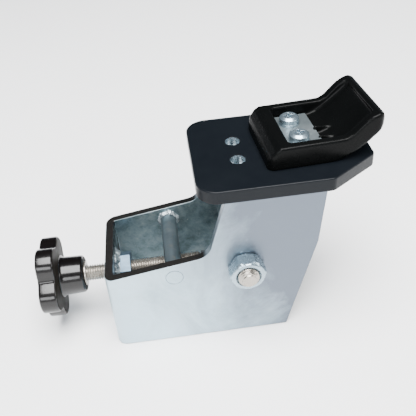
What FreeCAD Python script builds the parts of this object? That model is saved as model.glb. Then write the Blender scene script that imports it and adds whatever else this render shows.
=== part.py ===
import FreeCAD, Part
import math
import os
import Sketcher
from FreeCAD import Vector, Rotation, Placement

# Clamp-on edging stop for a sliding saw table.
# Millimetres.  +Z is up.  +X runs from the star knob to the nose of the shoe,
# +Y runs from the nut side of the pivot bolt to its head side.
# The drawing frame has x = 0 on the outer face of the web, y = 0 on the outer
# face of the front side plate and z = 0 on the bottom edges.  ref_x and ref_y
# move the finished part so that its origin is the centre of its footprint.

SIZES = [
    # reference
    ("ref_x", 58.924, "middle of the overall length"),
    ("ref_y", 28.25, "middle of the overall width"),
    # folded bracket
    ("sheet", 5.0, "steel sheet thickness"),
    ("wide", 60.0, "bracket width over the side plates"),
    ("bend_out", 6.0, "outer bend radius"),
    ("bend_in", 1.0, "inner bend radius"),
    ("tall", 105.0, "height of the side plates under the top plate"),
    ("low_left", 54.0, "top edge height at the web"),
    ("low_right", 63.4, "top edge height at the foot of the upright"),
    ("up_foot", 60.5, "x of the foot of the upright"),
    ("up_head", 73.0, "x of the upright's left edge at its top"),
    ("up_fillet", 11.0, "fillet at the foot of the upright"),
    ("base_len", 106.0, "length of the bottom edge"),
    ("kink_x", 123.5, "x of the kink in the right edge"),
    ("kink_z", 65.0, "height of the kink"),
    ("top_right", 127.5, "x of the right edge at its top"),
    # clamping screw line
    ("axis_z", 36.0, "height of the clamping screw"),
    ("mid_y", 30.0, "middle plane"),
    ("screw_rad", 5.0, "M10 major radius"),
    ("web_hole", 5.3, "clearance hole in the web, radius"),
    ("thread_hole", 5.05, "bore of the weld nut, radius"),
    ("screw_left", -28.9, "end of the screw inside the knob"),
    ("screw_right", 57.0, "shoulder in front of the spigot"),
    ("spigot_rad", 3.5, "spigot radius"),
    ("spigot_end", 62.5, "end of the spigot"),
    ("groove_rad", 3.0, "bottom of the clip groove, radius"),
    ("groove_x", 60.0, "start of the clip groove"),
    ("groove_wide", 0.8, "width of the clip groove"),
    ("pad_left", 57.8, "open end of the pressure pad"),
    ("pad_right", 65.7, "pressing face of the pad"),
    ("pad_rad", 5.0, "pressure pad radius"),
    ("pad_bore", 3.55, "bore of the pad, radius"),
    ("pad_floor", 63.2, "bottom of the pad's bore"),
    ("pad_groove", 4.4, "radius of the pad's inner groove"),
    ("clip_rad", 4.1, "outer radius of the clip"),
    # star knob
    ("knob_rad", 25.5, "radius over the petals"),
    ("knob_thick", 10.6, "thickness of the petalled rim"),
    ("knob_left", -40.6, "outer face of the knob"),
    ("hub_rad", 11.75, "hub radius"),
    ("hub_len", 15.0, "hub length"),
    ("notch_wide", 1.6, "width of a valley at its bottom"),
    ("notch_rad", 20.2, "bottom of a valley from the axis"),
    ("notch_turn", 55.0, "turn of the first valley from upright"),
    ("insert_rad", 7.5, "steel insert radius"),
    ("insert_len", 14.0, "steel insert length"),
    ("insert_out", 0.8, "insert standing out of the hub"),
    # weld nut
    ("nut_flats", 19.0, "weld nut across flats"),
    ("nut_thick", 9.0, "weld nut thickness"),
    # cross rod
    ("rod_x", 40.0, "cross rod position"),
    ("rod_z", 51.0, "cross rod height"),
    ("rod_rad", 5.0, "cross rod radius"),
    # pivot
    ("piv_x", 81.5, "pivot position"),
    ("piv_z", 53.5, "pivot height"),
    ("bolt_rad", 6.0, "M12 bolt radius"),
    ("bolt_hole", 6.25, "bolt hole radius"),
    ("bolt_out", 13.5, "bolt end in front of the side plate"),
    ("hex_flats", 19.0, "M12 nut and head across flats"),
    ("hex_nut", 10.0, "M12 nut thickness"),
    ("hex_head", 7.5, "M12 head thickness"),
    ("wash_rad", 12.0, "M12 washer radius"),
    ("wash_thick", 2.5, "M12 washer thickness"),
    ("space_rad", 9.5, "spacer tube radius"),
    ("space_bore", 6.2, "spacer tube bore radius"),
    ("space_len", 15.9, "spacer tube length"),
    ("thrust_thick", 1.0, "thrust washer thickness"),
    ("thrust_rad", 10.5, "thrust washer radius"),
    # lever
    ("lever_thick", 15.6, "lever thickness"),
    ("boss_rad", 10.5, "lever boss radius"),
    ("bush_rad", 8.0, "bush outer radius"),
    ("bush_bore", 6.05, "bush bore radius"),
    ("arm_len", 42.0, "pivot to the tip of the arm"),
    ("arm_drop", 60.0, "arm angle below level"),
    ("nose_back", 15.5, "nose contact behind the pivot"),
    ("close_turn", 44.2, "lever turn when fully clamped"),
    ("jaw_thick", 2.0, "jaw pad thickness"),
    ("jaw_half", 4.0, "half width of the jaw flat"),
    ("jaw_off", 4.5, "jaw flat above the arm's tip centre"),
    # top plate
    ("plate_thick", 8.0, "top plate thickness"),
    ("plate_left", 57.0, "left edge of the top plate"),
    ("plate_right", 155.0, "right edge of the top plate"),
    ("plate_front", -8.0, "front edge of the top plate"),
    ("plate_back", 68.0, "back edge of the top plate"),
    ("plate_round", 12.0, "corner radius at the left"),
    ("cut_x", 27.0, "corner cut along x"),
    ("cut_y", 19.0, "corner cut along y"),
    ("edge_break", 0.5, "chamfer round the top plate"),
    ("tap_x", 82.0, "threaded holes, x"),
    ("tap_half", 9.75, "threaded holes, half spacing"),
    ("tap_rad", 4.25, "threaded holes, bore radius"),
    # support bar under the plate
    ("bar_left", 97.0, "support bar, left"),
    ("bar_long", 27.0, "support bar length"),
    ("bar_thick", 8.0, "support bar thickness"),
    ("low_x", 103.5, "screws from below, x"),
    ("low_half", 18.0, "screws from below, half spacing"),
    ("low_hole", 3.4, "clearance radius for M6"),
    ("m_six", 3.0, "M6 radius"),
    ("m_six_hole", 3.05, "M6 thread bore radius"),
    ("cap_rad", 5.0, "M6 cap head radius"),
    ("cap_high", 6.0, "M6 cap head height"),
    ("six_wash_rad", 6.0, "M6 washer radius"),
    ("six_wash", 1.5, "M6 washer thickness"),
    # shoe
    ("shoe_x", 115.0, "shoe screws, x"),
    ("shoe_half", 9.5, "shoe screws, half spacing"),
    ("shoe_turn", 3.5, "turn of the shoe on the plate"),
    ("shoe_wide", 50.0, "shoe width"),
    ("shoe_wall", 5.5, "shoe side wall"),
    ("shoe_floor", 5.5, "shoe floor thickness"),
    ("shoe_high", 13.2, "shoe wall height"),
    ("shoe_back", 21.0, "shoe behind the screws"),
    ("pocket_back", 8.5, "pocket behind the screws"),
    ("tip_out", 42.0, "nose in front of the screws"),
    ("tip_high", 25.0, "height of the nose"),
    ("tip_low", 18.0, "underside of the nose at its tip"),
    ("pack_thick", 2.0, "clamping plate thickness"),
    ("pack_long", 20.0, "clamping plate length"),
    ("pack_wide", 36.0, "clamping plate width"),
    ("ring_rad", 5.6, "spring washer radius"),
    ("ring_thick", 1.2, "spring washer thickness"),
    ("pan_rad", 5.5, "shoe screw head radius"),
    ("pan_high", 3.8, "shoe screw head height"),
]

doc = FreeCAD.newDocument("edging_stop")
sheet = doc.addObject("Spreadsheet::Sheet", "Dims")
sheet.Label = "Dims"
VAL = {}
row = 1
for name, value, note in SIZES:
    sheet.set("A%d" % row, name)
    sheet.set("B%d" % row, repr(float(value)))
    sheet.set("C%d" % row, note)
    sheet.setAlias("B%d" % row, name)
    VAL[name] = float(value)
    row += 1
doc.recompute()


class Q(object):
    """A size: its number and the expression that gives it from the sheet."""

    def __init__(self, val, txt):
        self.val = float(val)
        self.txt = txt

    @staticmethod
    def of(other):
        if isinstance(other, Q):
            return other
        return Q(other, "%.6f" % float(other) if other >= 0 else "(0 - %.6f)" % (-float(other)))

    def __add__(self, o):
        o = Q.of(o)
        return Q(self.val + o.val, "(%s + %s)" % (self.txt, o.txt))

    __radd__ = __add__

    def __sub__(self, o):
        o = Q.of(o)
        return Q(self.val - o.val, "(%s - %s)" % (self.txt, o.txt))

    def __rsub__(self, o):
        return Q.of(o) - self

    def __mul__(self, o):
        o = Q.of(o)
        return Q(self.val * o.val, "(%s * %s)" % (self.txt, o.txt))

    __rmul__ = __mul__

    def __truediv__(self, o):
        o = Q.of(o)
        return Q(self.val / o.val, "(%s / %s)" % (self.txt, o.txt))

    def __neg__(self):
        return Q(0, "0") - self


def S(name):
    return Q(VAL[name], "Dims." + name)


RX = S("ref_x")
RY = S("ref_y")
NODES = []


def node(obj, label):
    obj.Label = label
    NODES.append(obj)
    return obj


def bind(obj, prop, q):
    q = Q.of(q)
    if isinstance(q, Q) and "Dims." in q.txt:
        obj.setExpression(prop, q.txt)


def place(obj, x, y, z, rot=None):
    """Put a piece at drawing position x, y, z."""
    x = Q.of(x) - RX
    y = Q.of(y) - RY
    z = Q.of(z)
    obj.Placement = Placement(Vector(x.val, y.val, z.val), rot or Rotation())
    bind(obj, "Placement.Base.x", x)
    bind(obj, "Placement.Base.y", y)
    bind(obj, "Placement.Base.z", z)
    return obj


ALONG_X = Rotation(Vector(0, 1, 0), 90)
ALONG_Y = Rotation(Vector(1, 0, 0), -90)
UP = Rotation()


def cyl(name, r, length, x, y, z, rot=UP):
    c = doc.addObject("Part::Cylinder", name)
    c.Radius = Q.of(r).val
    c.Height = Q.of(length).val
    bind(c, "Radius", r)
    bind(c, "Height", length)
    return place(c, x, y, z, rot)


def box(name, lx, ly, lz, x, y, z, rot=UP):
    b = doc.addObject("Part::Box", name)
    for p, q in (("Length", lx), ("Width", ly), ("Height", lz)):
        setattr(b, p, Q.of(q).val)
        bind(b, p, q)
    return place(b, x, y, z, rot)


def hexa(name, flats, height, x, y, z, rot):
    p = doc.addObject("Part::Prism", name)
    p.Polygon = 6
    r = Q.of(flats) / 1.7320508
    p.Circumradius = r.val
    bind(p, "Circumradius", r)
    p.Height = Q.of(height).val
    bind(p, "Height", height)
    return place(p, x, y, z, rot)


def cone(name, r1, r2, h, x, y, z, rot=UP):
    c = doc.addObject("Part::Cone", name)
    c.Radius1 = Q.of(r1).val
    c.Radius2 = Q.of(r2).val
    c.Height = Q.of(h).val
    bind(c, "Radius1", r1)
    bind(c, "Radius2", r2)
    bind(c, "Height", h)
    return place(c, x, y, z, rot)


def fuse(name, objs):
    f = doc.addObject("Part::MultiFuse", name)
    f.Shapes = objs
    f.Refine = True
    return f


def cut(name, a, b):
    c = doc.addObject("Part::Cut", name)
    c.Base = a
    c.Tool = b
    return c


def common(name, a, b):
    c = doc.addObject("Part::Common", name)
    c.Base = a
    c.Tool = b
    return c


def group(name, objs):
    g = doc.addObject("Part::Compound", name)
    g.Links = objs
    return g


def plane_of(body, role):
    for f in body.Origin.OriginFeatures:
        if f.Role == role:
            return f
    raise RuntimeError("no plane " + role)


def new_body(label, x, y, z, rot=UP):
    b = doc.addObject("PartDesign::Body", label)
    node(b, label)
    place(b, x, y, z, rot)
    return b


def sketch_on(body, name, role, offset=0.0):
    s = body.newObject("Sketcher::SketchObject", name)
    s.AttachmentSupport = [(plane_of(body, role), "")]
    s.MapMode = "FlatFace"
    off = Q.of(offset)
    s.AttachmentOffset = Placement(Vector(0, 0, off.val), Rotation())
    bind(s, "AttachmentOffset.Base.z", off)
    return s


def hold(s, geo, pos, q, axis):
    """Fix one coordinate of a sketch point to a size."""
    q = Q.of(q)
    if abs(q.val) < 1e-9 and "Dims." not in q.txt:
        s.addConstraint(Sketcher.Constraint("PointOnObject", geo, pos, -2 if axis == "X" else -1))
        return
    i = s.addConstraint(Sketcher.Constraint("Distance" + axis, -1, 1, geo, pos, q.val))
    if "Dims." in q.txt:
        nm = "c%d" % i
        s.renameConstraint(i, nm)
        s.setExpression("Constraints." + nm, q.txt)


def polygon(s, pts):
    """A closed polygon whose corners are held by sizes."""
    pts = [(Q.of(a), Q.of(b)) for a, b in pts]
    n = len(pts)
    base = s.GeometryCount
    for i in range(n):
        a, b = pts[i], pts[(i + 1) % n]
        s.addGeometry(Part.LineSegment(Vector(a[0].val, a[1].val, 0), Vector(b[0].val, b[1].val, 0)), False)
    for i in range(n):
        s.addConstraint(Sketcher.Constraint("Coincident", base + i, 2, base + (i + 1) % n, 1))
    for i in range(n):
        hold(s, base + i, 1, pts[i][0], "X")
        hold(s, base + i, 1, pts[i][1], "Y")


def circle(s, x, y, r):
    x, y, r = Q.of(x), Q.of(y), Q.of(r)
    g = s.addGeometry(Part.Circle(Vector(x.val, y.val, 0), Vector(0, 0, 1), r.val), False)
    i = s.addConstraint(Sketcher.Constraint("Radius", g, r.val))
    nm = "c%d" % i
    s.renameConstraint(i, nm)
    if "Dims." in r.txt:
        s.setExpression("Constraints." + nm, r.txt)
    hold(s, g, 3, x, "X")
    hold(s, g, 3, y, "Y")


def volume(body):
    return body.Tip.Shape.Volume


def pad(body, s, length, back=False):
    p = body.newObject("PartDesign::Pad", s.Name + "_pad")
    p.Profile = s
    p.Length = Q.of(length).val
    bind(p, "Length", length)
    p.Reversed = back
    s.Visibility = False
    doc.recompute()
    return p


def pocket(body, s, length):
    """A pocket that is sure to cut: its direction is chosen by volume."""
    before = body.Shape.Volume
    p = body.newObject("PartDesign::Pocket", s.Name + "_cut")
    p.Profile = s
    p.Length = Q.of(length).val
    bind(p, "Length", length)
    doc.recompute()
    if p.State and ("Invalid" in p.State or "Error" in p.State) or body.Shape.Volume > before - 1e-3:
        p.Reversed = not p.Reversed
        doc.recompute()
    if body.Shape.Volume > before - 1e-3:
        raise RuntimeError("pocket %s cuts nothing" % s.Name)
    return p


def edges_where(shape, test):
    out = []
    for i, e in enumerate(shape.Edges):
        if test(e):
            out.append("Edge%d" % (i + 1))
    return out


def upright_at(x, y, tol=0.05):
    def test(e):
        if len(e.Vertexes) != 2:
            return False
        a, b = e.Vertexes[0].Point, e.Vertexes[1].Point
        if abs(a.x - b.x) > 1e-4 or abs(a.y - b.y) > 1e-4:
            return False
        return abs(a.x - x) < tol and abs(a.y - y) < tol
    return test


def crosswise_at(x, z, tol=0.05):
    def test(e):
        if len(e.Vertexes) != 2:
            return False
        a, b = e.Vertexes[0].Point, e.Vertexes[1].Point
        if abs(a.x - b.x) > 1e-4 or abs(a.z - b.z) > 1e-4:
            return False
        return abs(a.x - x) < tol and abs(a.z - z) < tol
    return test


def any_of(*tests):
    return lambda e: any(t(e) for t in tests)


def fillet(body, edge_test, radius, kind="Fillet"):
    base = body.Tip
    names = edges_where(base.Shape, edge_test)
    if not names:
        raise RuntimeError("no edges for the %s on %s" % (kind, body.Label))
    f = body.newObject("PartDesign::" + kind, "%s_%s" % (body.Name, kind))
    f.Base = (base, names)
    prop = "Radius" if kind == "Fillet" else "Size"
    setattr(f, prop, Q.of(radius).val)
    bind(f, prop, radius)
    doc.recompute()
    return f


# ---------------------------------------------------------------- bracket
# One folded steel sheet, a U in plan: web at the left, two side plates.
T = S("sheet")
W = S("wide")
FAR = Q(140.0, "140.0")
bracket = new_body("clamp_bracket", 0, 0, 0)
sk = sketch_on(bracket, "bracket_plan", "XY_Plane")
polygon(sk, [(0, 0), (FAR, 0), (FAR, T), (T, T), (T, W - T), (FAR, W - T), (FAR, W), (0, W)])
pad(bracket, sk, S("tall"))
fillet(bracket, any_of(upright_at(0, 0), upright_at(0, 60)), S("bend_out"))
fillet(bracket, any_of(upright_at(5, 5), upright_at(5, 55)), S("bend_in"))
# the side plates are low at the left and step up to the upright
slope = (S("low_right") - S("low_left")) / S("up_foot")
sk = sketch_on(bracket, "low_edge", "XZ_Plane")
polygon(sk, [(-10, S("low_left") - slope * 10), (S("up_foot"), S("low_right")), (S("up_head"), S("tall")),
             (S("up_head"), S("tall") + 10), (-10, S("tall") + 10)])
pocket(bracket, sk, W + 5)
lean = (S("top_right") - S("kink_x")) / (S("tall") - S("kink_z"))
rake = (S("kink_x") - S("base_len")) / S("kink_z")
sk = sketch_on(bracket, "right_edge", "XZ_Plane")
polygon(sk, [(S("base_len") - rake * 5, -5), (S("kink_x"), S("kink_z")), (S("top_right") + lean * 5, S("tall") + 5),
             (150, S("tall") + 5), (150, -5)])
pocket(bracket, sk, W + 5)
fillet(bracket, crosswise_at(VAL["up_foot"], VAL["low_right"]), S("up_fillet"))
sk = sketch_on(bracket, "side_holes", "XZ_Plane")
circle(sk, S("rod_x"), S("rod_z"), S("rod_rad"))
circle(sk, S("piv_x"), S("piv_z"), S("bolt_hole"))
pocket(bracket, sk, W + 5)
sk = sketch_on(bracket, "web_bore", "YZ_Plane", -1)
circle(sk, S("mid_y"), S("axis_z"), S("web_hole"))
before = bracket.Shape.Volume
hole = bracket.newObject("PartDesign::Pocket", "web_bore_cut")
hole.Profile = sk
hole.Length = VAL["sheet"] + 2
bind(hole, "Length", T + 2)
hole.Reversed = True
doc.recompute()
if bracket.Shape.Volume > before - 1:
    raise RuntimeError("web bore cuts nothing")

# ---------------------------------------------------------------- fixed pieces on the bracket
node(cyl("cross_rod", S("rod_rad"), W, S("rod_x"), 0, S("rod_z"), ALONG_Y), "cross_rod")

# weld nut behind the web, with its weld
nut_body = hexa("nut_body", S("nut_flats"), S("nut_thick"), T, S("mid_y"), S("axis_z"), ALONG_X)
nut_bore = cyl("nut_bore", S("thread_hole"), S("nut_thick") + 2, T - 1, S("mid_y"), S("axis_z"), ALONG_X)
node(cut("weld_nut", nut_body, nut_bore), "weld_nut")
bead = cone("bead_ring", S("nut_flats") / 2 + 4.2, S("nut_flats") / 2 + 1.5, 3.2, T, S("mid_y"), S("axis_z"), ALONG_X)
bead_hex = hexa("bead_hex", S("nut_flats"), 12, T - 2, S("mid_y"), S("axis_z"), ALONG_X)
node(cut("nut_weld", bead, bead_hex), "nut_weld")

# fillet welds round the two ends of the cross rod, inside the side plates
w1 = cone("rod_weld_a", S("rod_rad") + 2.4, S("rod_rad") + 0.4, 2.4, S("rod_x"), T, S("rod_z"), ALONG_Y)
w1c = cut("rod_weld_a_cut", w1, cyl("rod_core_a", S("rod_rad") + 0.02, 6, S("rod_x"), T - 2, S("rod_z"), ALONG_Y))
w2 = cone("rod_weld_b", S("rod_rad") + 0.4, S("rod_rad") + 2.4, 2.4, S("rod_x"), W - T - 2.4, S("rod_z"), ALONG_Y)
w2c = cut("rod_weld_b_cut", w2, cyl("rod_core_b", S("rod_rad") + 0.02, 6, S("rod_x"), W - T - 4, S("rod_z"), ALONG_Y))
node(group("rod_welds", [w1c, w2c]), "rod_welds")

# ---------------------------------------------------------------- pivot
PX, PZ = S("piv_x"), S("piv_z")
shank = cyl("bolt_shank", S("bolt_rad"), W + S("wash_thick") + S("bolt_out") - 1.5, PX, Q(1.5, "1.5") - S("bolt_out"), PZ, ALONG_Y)
point = cone("bolt_point", S("bolt_rad") - 1.5, S("bolt_rad"), 1.5, PX, -S("bolt_out"), PZ, ALONG_Y)
hexrot = Rotation(Vector(1, 0, 0), -90)
head = hexa("bolt_head", S("hex_flats"), S("hex_head"), PX, W + S("wash_thick"), PZ, hexrot)
node(fuse("pivot_bolt", [shank, point, head]), "pivot_bolt")
nutb = hexa("pivot_nut_body", S("hex_flats"), S("hex_nut"), PX, -S("hex_nut"), PZ, hexrot)
nutc = cone("pivot_nut_cone", S("hex_flats") / 2, S("hex_flats") / 2 + S("hex_nut") * 1.75, S("hex_nut"), PX, -S("hex_nut"), PZ, ALONG_Y)
nuth = cyl("pivot_nut_hole", S("bolt_rad") + 0.03, S("hex_nut") + 2, PX, -S("hex_nut") - 1, PZ, ALONG_Y)
node(cut("pivot_nut", common("pivot_nut_round", nutb, nutc), nuth), "pivot_nut")
node(cut("pivot_washer", cyl("washer_disc", S("wash_rad"), S("wash_thick"), PX, W, PZ, ALONG_Y),
         cyl("washer_hole", S("bolt_hole"), S("wash_thick") + 2, PX, W - 1, PZ, ALONG_Y)), "pivot_washer")
sp = []
for tag, y0 in (("a", T), ("b", W - T - S("space_len"))):
    o = cyl("spacer_out_" + tag, S("space_rad"), S("space_len"), PX, y0, PZ, ALONG_Y)
    i = cyl("spacer_in_" + tag, S("space_bore"), S("space_len") + 2, PX, y0 - 1, PZ, ALONG_Y)
    sp.append(cut("spacer_" + tag, o, i))
node(group("pivot_spacers", sp), "pivot_spacers")
sp = []
for tag, y0 in (("a", T + S("space_len")), ("b", W - T - S("space_len") - S("thrust_thick"))):
    o = cyl("thrust_out_" + tag, S("thrust_rad"), S("thrust_thick"), PX, y0, PZ, ALONG_Y)
    i = cyl("thrust_in_" + tag, S("space_bore"), S("thrust_thick") + 2, PX, y0 - 1, PZ, ALONG_Y)
    sp.append(cut("thrust_" + tag, o, i))
node(group("thrust_washers", sp), "thrust_washers")

# ---------------------------------------------------------------- lever
# A bell crank.  Its nose is an involute of a circle about the pivot whose
# radius is the screw's distance below the pivot, so the flat pressure pad
# turns it by an angle in proportion to its own travel.


def sheet_value(name):
    return float(sheet.get(name))


def lever_shape():
    g = sheet_value
    px, pz = g("piv_x"), g("piv_z")
    rb = pz - g("axis_z")
    u0 = g("nose_back")
    pts = []
    s = -5.0
    while s <= u0 - 1.2 + 1e-9:
        th = s / rb
        vx, vz = -(u0 - s), -rb
        c, n = math.cos(th), math.sin(th)
        pts.append(Vector(px + vx * c + vz * n, 0, pz - vx * n + vz * c))
        s += (u0 - 1.2 + 5.0) / 12.0
    spline = Part.BSplineCurve()
    spline.interpolate(pts)
    a = math.radians(g("arm_drop"))
    d = Vector(math.cos(a), 0, -math.sin(a))
    nn = Vector(-math.sin(a), 0, -math.cos(a))
    P = Vector(px, 0, pz)
    tip = P + d * g("arm_len")
    b = math.radians(g("close_turn"))
    up = Vector(math.sin(b), 0, math.cos(b))
    al = Vector(math.cos(b), 0, -math.sin(b))
    jh, jo = g("jaw_half"), g("jaw_off")
    br = g("boss_rad")
    last = pts[-1]
    th = (u0 - 0.5) / rb
    vx, vz = -0.5, -br
    c, n = math.cos(th), math.sin(th)
    neck = Vector(px + vx * c + vz * n, 0, pz - vx * n + vz * c)
    outline = [last, neck, P + Vector(0, 0, 2), P + d * 4 - nn * 9.0, tip + up * jo - al * jh,
               tip + up * jo + al * jh, tip + al * 4.6 - up * 1.5, tip + al * 2.0 - up * 5.0,
               tip + nn * 4.8 - d * 4, P + d * 22 + nn * 8.0, Vector(pts[0].x + 4.5, 0, pts[0].z - 4.0), pts[0]]
    edges = [spline.toShape()]
    for i in range(len(outline) - 1):
        edges.append(Part.LineSegment(outline[i], outline[i + 1]).toShape())
    wire = Part.Wire(Part.__sortEdges__(edges))
    face = Part.Face(wire)
    t = g("lever_thick")
    y0 = g("mid_y") - t / 2.0
    solid = face.extrude(Vector(0, t, 0))
    solid.translate(Vector(0, y0, 0))
    boss = Part.makeCylinder(br, t, Vector(px, y0, pz), Vector(0, 1, 0))
    bore = Part.makeCylinder(g("bush_rad"), t + 2, Vector(px, y0 - 1, pz), Vector(0, 1, 0))
    out = solid.fuse(boss).removeSplitter().cut(bore)
    return out, tip, up, al


lever_solid, TIP, JUP, JAL = lever_shape()
lever = doc.addObject("Part::Feature", "clamp_lever")
lever.Shape = lever_solid.Solids[0]
place(lever, 0, 0, 0)
node(lever, "clamp_lever")
node(cut("lever_bush", cyl("bush_out", S("bush_rad"), S("lever_thick"), PX, S("mid_y") - S("lever_thick") / 2, PZ, ALONG_Y),
         cyl("bush_in", S("bush_bore"), S("lever_thick") + 2, PX, S("mid_y") - S("lever_thick") / 2 - 1, PZ, ALONG_Y)), "lever_bush")
corner = TIP + JUP * VAL["jaw_off"] - JAL * VAL["jaw_half"]
jaw = doc.addObject("Part::Box", "jaw_pad")
jaw.Length = 2 * VAL["jaw_half"]
jaw.Width = VAL["lever_thick"]
jaw.Height = VAL["jaw_thick"]
bind(jaw, "Length", S("jaw_half") * 2)
bind(jaw, "Width", S("lever_thick"))
bind(jaw, "Height", S("jaw_thick"))
arm_c = Q(math.cos(math.radians(VAL["arm_drop"])), "cos(Dims.arm_drop * 1deg)")
arm_s = Q(math.sin(math.radians(VAL["arm_drop"])), "sin(Dims.arm_drop * 1deg)")
tur_c = Q(math.cos(math.radians(VAL["close_turn"])), "cos(Dims.close_turn * 1deg)")
tur_s = Q(math.sin(math.radians(VAL["close_turn"])), "sin(Dims.close_turn * 1deg)")
place(jaw, PX + S("arm_len") * arm_c + S("jaw_off") * tur_s - S("jaw_half") * tur_c,
      S("mid_y") - S("lever_thick") / 2,
      PZ - S("arm_len") * arm_s + S("jaw_off") * tur_c + S("jaw_half") * tur_s,
      Rotation(Vector(0, 1, 0), VAL["close_turn"]))
node(jaw, "jaw_pad")

# ---------------------------------------------------------------- clamping screw, pad and knob
AZ, MY = S("axis_z"), S("mid_y")
rod_main = cyl("screw_main", S("screw_rad"), S("screw_right") - S("screw_left"), S("screw_left"), MY, AZ, ALONG_X)
g1 = cyl("screw_spigot_a", S("spigot_rad"), S("groove_x") - S("screw_right"), S("screw_right"), MY, AZ, ALONG_X)
g2 = cyl("screw_groove", S("groove_rad"), S("groove_wide"), S("groove_x"), MY, AZ, ALONG_X)
g3 = cyl("screw_spigot_b", S("spigot_rad"), S("spigot_end") - S("groove_x") - S("groove_wide") - 0.6,
         S("groove_x") + S("groove_wide"), MY, AZ, ALONG_X)
g4 = cone("screw_point", S("spigot_rad"), S("spigot_rad") - 0.6, 0.6, S("spigot_end") - 0.6, MY, AZ, ALONG_X)
node(fuse("clamp_screw", [rod_main, g1, g2, g3, g4]), "clamp_screw")
node(cut("spigot_clip", cyl("clip_out", S("clip_rad"), S("groove_wide"), S("groove_x"), MY, AZ, ALONG_X),
         cyl("clip_in", S("groove_rad"), S("groove_wide") + 2, S("groove_x") - 1, MY, AZ, ALONG_X)), "spigot_clip")
pad_out = cyl("pad_out", S("pad_rad"), S("pad_right") - S("pad_left"), S("pad_left"), MY, AZ, ALONG_X)
pad_in = cyl("pad_in", S("pad_bore"), S("pad_floor") - S("pad_left") + 1, S("pad_left") - 1, MY, AZ, ALONG_X)
pad_gr = cyl("pad_ring", S("pad_groove"), S("groove_wide") + 0.6, S("groove_x") - 0.3, MY, AZ, ALONG_X)
node(cut("pressure_pad", pad_out, fuse("pad_tools", [pad_in, pad_gr])), "pressure_pad")

knob = new_body("star_knob", S("knob_left"), MY, AZ, Rotation(Vector(1, 0, 0), VAL["notch_turn"]))
sk = sketch_on(knob, "rim", "YZ_Plane")
circle(sk, 0, 0, S("knob_rad"))
pad(knob, sk, S("knob_thick"))
sk = sketch_on(knob, "hub", "YZ_Plane", S("knob_thick"))
circle(sk, 0, 0, S("hub_rad"))
pad(knob, sk, S("hub_len"))
sk = sketch_on(knob, "notch", "YZ_Plane")
half = S("notch_wide") / 2
kr = S("knob_rad")
right_side = [(half, S("notch_rad")), (kr * 0.117, kr * 0.829), (kr * 0.252, kr * 0.880), (kr * 0.396, kr * 0.890), (kr * 0.50, kr * 0.880),
              (kr * 0.50, kr * 1.08)]
polygon(sk, [(-a, b) for a, b in reversed(right_side)] + right_side)
before = knob.Shape.Volume
nc = knob.newObject("PartDesign::Pocket", "notch_cut")
nc.Profile = sk
nc.Length = VAL["knob_thick"]
bind(nc, "Length", S("knob_thick"))
nc.Reversed = True
doc.recompute()
if knob.Shape.Volume > before - 1:
    raise RuntimeError("notch cuts nothing")
pat = knob.newObject("PartDesign::PolarPattern", "notches")
pat.Originals = [nc]
pat.Axis = (sk, ["N_Axis"])
pat.Angle = 360
pat.Occurrences = 5
knob.Tip = pat
doc.recompute()
sk = sketch_on(knob, "insert_bore", "YZ_Plane", S("knob_thick") + S("hub_len"))
circle(sk, 0, 0, S("insert_rad"))
pocket(knob, sk, S("insert_len"))


def knob_rims(e):
    """Outer arcs of the lobes on both faces, and the hub's end edge."""
    if not hasattr(e.Curve, "Radius"):
        return False
    r = e.Curve.Radius
    return (abs(r - VAL["knob_rad"]) < 1e-3) or (abs(r - VAL["hub_rad"]) < 1e-3 and
            abs(e.Vertexes[0].Point.x - VAL["knob_thick"] - VAL["hub_len"]) < 1e-3)


fillet(knob, knob_rims, 1.2, "Chamfer")

ins = cyl("insert_out", S("insert_rad"), S("insert_len") + S("insert_out"),
          S("knob_left") + S("knob_thick") + S("hub_len") - S("insert_len"), MY, AZ, ALONG_X)
ins_hole = cyl("insert_in", S("screw_rad"), S("insert_len") + 4,
               S("knob_left") + S("knob_thick") + S("hub_len") - S("insert_len") - 2, MY, AZ, ALONG_X)
node(cut("knob_insert", ins, ins_hole), "knob_insert")

# ---------------------------------------------------------------- top plate
TP, TH = S("tall"), S("plate_thick")
COS_S = Q(math.cos(math.radians(VAL["shoe_turn"])), "cos(Dims.shoe_turn * 1deg)")
SIN_S = Q(math.sin(math.radians(VAL["shoe_turn"])), "sin(Dims.shoe_turn * 1deg)")
plate = new_body("top_plate", 0, 0, TP)
x0, x1, y0, y1 = S("plate_left"), S("plate_right"), S("plate_front"), S("plate_back")
sk = sketch_on(plate, "plate_plan", "XY_Plane")
polygon(sk, [(x0, y0), (x1 - S("cut_x"), y0), (x1, y0 + S("cut_y")), (x1, y1 - S("cut_y")), (x1 - S("cut_x"), y1), (x0, y1)])
pad(plate, sk, TH)
fillet(plate, any_of(upright_at(VAL["plate_left"], VAL["plate_front"]), upright_at(VAL["plate_left"], VAL["plate_back"])), S("plate_round"))
fillet(plate, any_of(upright_at(VAL["plate_right"], VAL["plate_front"] + VAL["cut_y"]),
                     upright_at(VAL["plate_right"], VAL["plate_back"] - VAL["cut_y"]),
                     upright_at(VAL["plate_right"] - VAL["cut_x"], VAL["plate_front"]),
                     upright_at(VAL["plate_right"] - VAL["cut_x"], VAL["plate_back"])), 4.0)


def plate_rims(e):
    z = [v.Point.z for v in e.Vertexes]
    if max(z) - min(z) > 1e-4:
        return False
    return abs(z[0] - VAL["plate_thick"]) < 1e-3 or abs(z[0]) < 1e-3


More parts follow.
